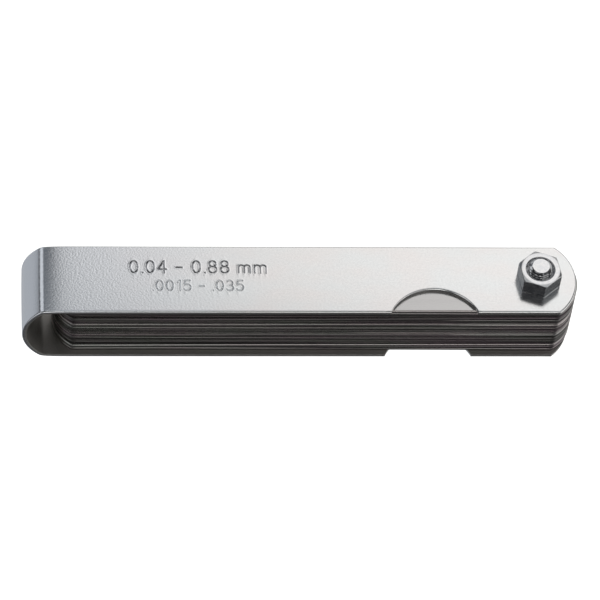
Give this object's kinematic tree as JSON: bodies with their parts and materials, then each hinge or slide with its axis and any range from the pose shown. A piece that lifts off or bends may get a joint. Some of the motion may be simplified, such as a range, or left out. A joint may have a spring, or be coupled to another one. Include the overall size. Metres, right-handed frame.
{
  "type": "feeler gauge",
  "caption": "Folding pack of steel thickness leaves that swing on one bolt between the covers of a bent steel case, clamped by a nut, with thumb notches along one edge.",
  "frame": {"origin": "under the middle of the closed gauge's length and width, level with the lowest face of the bolt's head", "axes": "+X along the case from its closed bend to the pivot, +Z out of the cover that carries the nut, thumb notches on the -Y edge"},
  "size_m": [0.0992, 0.0142, 0.0215],
  "materials": {
    "case_steel": "satin nickel or zinc plate with a fine mottle",
    "leaf_steel": "ground spring steel, lightly oiled",
    "zinc_plate": "bright zinc plate"
  },
  "bodies": {
    "case": {"case": "case_steel"},
    "nut": {"nut": "zinc_plate"},
    "bolt": {"bolt": "zinc_plate"},
    "leaf_0_88mm": {"leaf_0_88mm": "leaf_steel"},
    "leaf_0_80mm": {"leaf_0_80mm": "leaf_steel"},
    "leaf_0_70mm": {"leaf_0_70mm": "leaf_steel"},
    "leaf_0_63mm": {"leaf_0_63mm": "leaf_steel"},
    "leaf_0_58mm": {"leaf_0_58mm": "leaf_steel"},
    "leaf_0_53mm": {"leaf_0_53mm": "leaf_steel"},
    "leaf_0_48mm": {"leaf_0_48mm": "leaf_steel"},
    "leaf_0_43mm": {"leaf_0_43mm": "leaf_steel"},
    "leaf_0_38mm": {"leaf_0_38mm": "leaf_steel"},
    "leaf_0_33mm": {"leaf_0_33mm": "leaf_steel"},
    "leaf_0_28mm": {"leaf_0_28mm": "leaf_steel"},
    "leaf_0_23mm": {"leaf_0_23mm": "leaf_steel"},
    "leaf_0_18mm": {"leaf_0_18mm": "leaf_steel"},
    "leaf_0_13mm": {"leaf_0_13mm": "leaf_steel"},
    "leaf_0_08mm": {"leaf_0_08mm": "leaf_steel"},
    "leaf_0_05mm": {"leaf_0_05mm": "leaf_steel"},
    "leaf_0_04mm": {"leaf_0_04mm": "leaf_steel"},
    "leaf_0_06mm": {"leaf_0_06mm": "leaf_steel"},
    "leaf_0_10mm": {"leaf_0_10mm": "leaf_steel"},
    "leaf_0_15mm": {"leaf_0_15mm": "leaf_steel"},
    "leaf_0_20mm": {"leaf_0_20mm": "leaf_steel"},
    "leaf_0_25mm": {"leaf_0_25mm": "leaf_steel"},
    "leaf_0_30mm": {"leaf_0_30mm": "leaf_steel"},
    "leaf_0_35mm": {"leaf_0_35mm": "leaf_steel"},
    "leaf_0_40mm": {"leaf_0_40mm": "leaf_steel"},
    "leaf_0_45mm": {"leaf_0_45mm": "leaf_steel"},
    "leaf_0_50mm": {"leaf_0_50mm": "leaf_steel"},
    "leaf_0_55mm": {"leaf_0_55mm": "leaf_steel"},
    "leaf_0_60mm": {"leaf_0_60mm": "leaf_steel"},
    "leaf_0_65mm": {"leaf_0_65mm": "leaf_steel"},
    "leaf_0_75mm": {"leaf_0_75mm": "leaf_steel"},
    "leaf_0_85mm": {"leaf_0_85mm": "leaf_steel"}
  },
  "joints": [
    {"name": "bolt_slide", "type": "slide", "parent": "case", "child": "bolt", "axis": [0, 0, -1], "range_m": [0, 0.0014]},
    {"name": "nut_turn", "type": "hinge", "parent": "case", "child": "nut", "pos_m": [0.04255, 0, 0.0189], "axis": [0, 0, 1], "range_deg": [0, 721]},
    {"name": "leaf_0_88mm_swing", "type": "hinge", "parent": "case", "child": "leaf_0_88mm", "pos_m": [0.04255, 0, 0.01606], "axis": [0, 0, 1], "continuous": true},
    {"name": "leaf_0_80mm_swing", "type": "hinge", "parent": "case", "child": "leaf_0_80mm", "pos_m": [0.04255, 0, 0.01522], "axis": [0, 0, 1], "continuous": true},
    {"name": "leaf_0_70mm_swing", "type": "hinge", "parent": "case", "child": "leaf_0_70mm", "pos_m": [0.04255, 0, 0.01446], "axis": [0, 0, 1], "continuous": true},
    {"name": "leaf_0_63mm_swing", "type": "hinge", "parent": "case", "child": "leaf_0_63mm", "pos_m": [0.04255, 0, 0.01379], "axis": [0, 0, 1], "continuous": true},
    {"name": "leaf_0_58mm_swing", "type": "hinge", "parent": "case", "child": "leaf_0_58mm", "pos_m": [0.04255, 0, 0.01318], "axis": [0, 0, 1], "continuous": true},
    {"name": "leaf_0_53mm_swing", "type": "hinge", "parent": "case", "child": "leaf_0_53mm", "pos_m": [0.04255, 0, 0.01262], "axis": [0, 0, 1], "continuous": true},
    {"name": "leaf_0_48mm_swing", "type": "hinge", "parent": "case", "child": "leaf_0_48mm", "pos_m": [0.04255, 0, 0.01211], "axis": [0, 0, 1], "continuous": true},
    {"name": "leaf_0_43mm_swing", "type": "hinge", "parent": "case", "child": "leaf_0_43mm", "pos_m": [0.04255, 0, 0.01165], "axis": [0, 0, 1], "continuous": true},
    {"name": "leaf_0_38mm_swing", "type": "hinge", "parent": "case", "child": "leaf_0_38mm", "pos_m": [0.04255, 0, 0.01123], "axis": [0, 0, 1], "continuous": true},
    {"name": "leaf_0_33mm_swing", "type": "hinge", "parent": "case", "child": "leaf_0_33mm", "pos_m": [0.04255, 0, 0.01087], "axis": [0, 0, 1], "continuous": true},
    {"name": "leaf_0_28mm_swing", "type": "hinge", "parent": "case", "child": "leaf_0_28mm", "pos_m": [0.04255, 0, 0.01056], "axis": [0, 0, 1], "continuous": true},
    {"name": "leaf_0_23mm_swing", "type": "hinge", "parent": "case", "child": "leaf_0_23mm", "pos_m": [0.04255, 0, 0.0103], "axis": [0, 0, 1], "continuous": true},
    {"name": "leaf_0_18mm_swing", "type": "hinge", "parent": "case", "child": "leaf_0_18mm", "pos_m": [0.04255, 0, 0.01009], "axis": [0, 0, 1], "continuous": true},
    {"name": "leaf_0_13mm_swing", "type": "hinge", "parent": "case", "child": "leaf_0_13mm", "pos_m": [0.04255, 0, 0.00993], "axis": [0, 0, 1], "continuous": true},
    {"name": "leaf_0_08mm_swing", "type": "hinge", "parent": "case", "child": "leaf_0_08mm", "pos_m": [0.04255, 0, 0.00982], "axis": [0, 0, 1], "continuous": true},
    {"name": "leaf_0_05mm_swing", "type": "hinge", "parent": "case", "child": "leaf_0_05mm", "pos_m": [0.04255, 0, 0.00975], "axis": [0, 0, 1], "continuous": true},
    {"name": "leaf_0_04mm_swing", "type": "hinge", "parent": "case", "child": "leaf_0_04mm", "pos_m": [0.04255, 0, 0.0097], "axis": [0, 0, 1], "continuous": true},
    {"name": "leaf_0_06mm_swing", "type": "hinge", "parent": "case", "child": "leaf_0_06mm", "pos_m": [0.04255, 0, 0.00964], "axis": [0, 0, 1], "continuous": true},
    {"name": "leaf_0_10mm_swing", "type": "hinge", "parent": "case", "child": "leaf_0_10mm", "pos_m": [0.04255, 0, 0.00955], "axis": [0, 0, 1], "continuous": true},
    {"name": "leaf_0_15mm_swing", "type": "hinge", "parent": "case", "child": "leaf_0_15mm", "pos_m": [0.04255, 0, 0.00942], "axis": [0, 0, 1], "continuous": true},
    {"name": "leaf_0_20mm_swing", "type": "hinge", "parent": "case", "child": "leaf_0_20mm", "pos_m": [0.04255, 0, 0.00924], "axis": [0, 0, 1], "continuous": true},
    {"name": "leaf_0_25mm_swing", "type": "hinge", "parent": "case", "child": "leaf_0_25mm", "pos_m": [0.04255, 0, 0.00901], "axis": [0, 0, 1], "continuous": true},
    {"name": "leaf_0_30mm_swing", "type": "hinge", "parent": "case", "child": "leaf_0_30mm", "pos_m": [0.04255, 0, 0.00873], "axis": [0, 0, 1], "continuous": true},
    {"name": "leaf_0_35mm_swing", "type": "hinge", "parent": "case", "child": "leaf_0_35mm", "pos_m": [0.04255, 0, 0.0084], "axis": [0, 0, 1], "continuous": true},
    {"name": "leaf_0_40mm_swing", "type": "hinge", "parent": "case", "child": "leaf_0_40mm", "pos_m": [0.04255, 0, 0.00802], "axis": [0, 0, 1], "continuous": true},
    {"name": "leaf_0_45mm_swing", "type": "hinge", "parent": "case", "child": "leaf_0_45mm", "pos_m": [0.04255, 0, 0.00759], "axis": [0, 0, 1], "continuous": true},
    {"name": "leaf_0_50mm_swing", "type": "hinge", "parent": "case", "child": "leaf_0_50mm", "pos_m": [0.04255, 0, 0.00711], "axis": [0, 0, 1], "continuous": true},
    {"name": "leaf_0_55mm_swing", "type": "hinge", "parent": "case", "child": "leaf_0_55mm", "pos_m": [0.04255, 0, 0.00658], "axis": [0, 0, 1], "continuous": true},
    {"name": "leaf_0_60mm_swing", "type": "hinge", "parent": "case", "child": "leaf_0_60mm", "pos_m": [0.04255, 0, 0.00599], "axis": [0, 0, 1], "continuous": true},
    {"name": "leaf_0_65mm_swing", "type": "hinge", "parent": "case", "child": "leaf_0_65mm", "pos_m": [0.04255, 0, 0.00536], "axis": [0, 0, 1], "continuous": true},
    {"name": "leaf_0_75mm_swing", "type": "hinge", "parent": "case", "child": "leaf_0_75mm", "pos_m": [0.04255, 0, 0.00466], "axis": [0, 0, 1], "continuous": true},
    {"name": "leaf_0_85mm_swing", "type": "hinge", "parent": "case", "child": "leaf_0_85mm", "pos_m": [0.04255, 0, 0.00385], "axis": [0, 0, 1], "continuous": true}
  ],
  "couplings": [
    {"joint": "nut_turn", "follows": "bolt_slide", "rad_per_m": 8976}
  ]
}
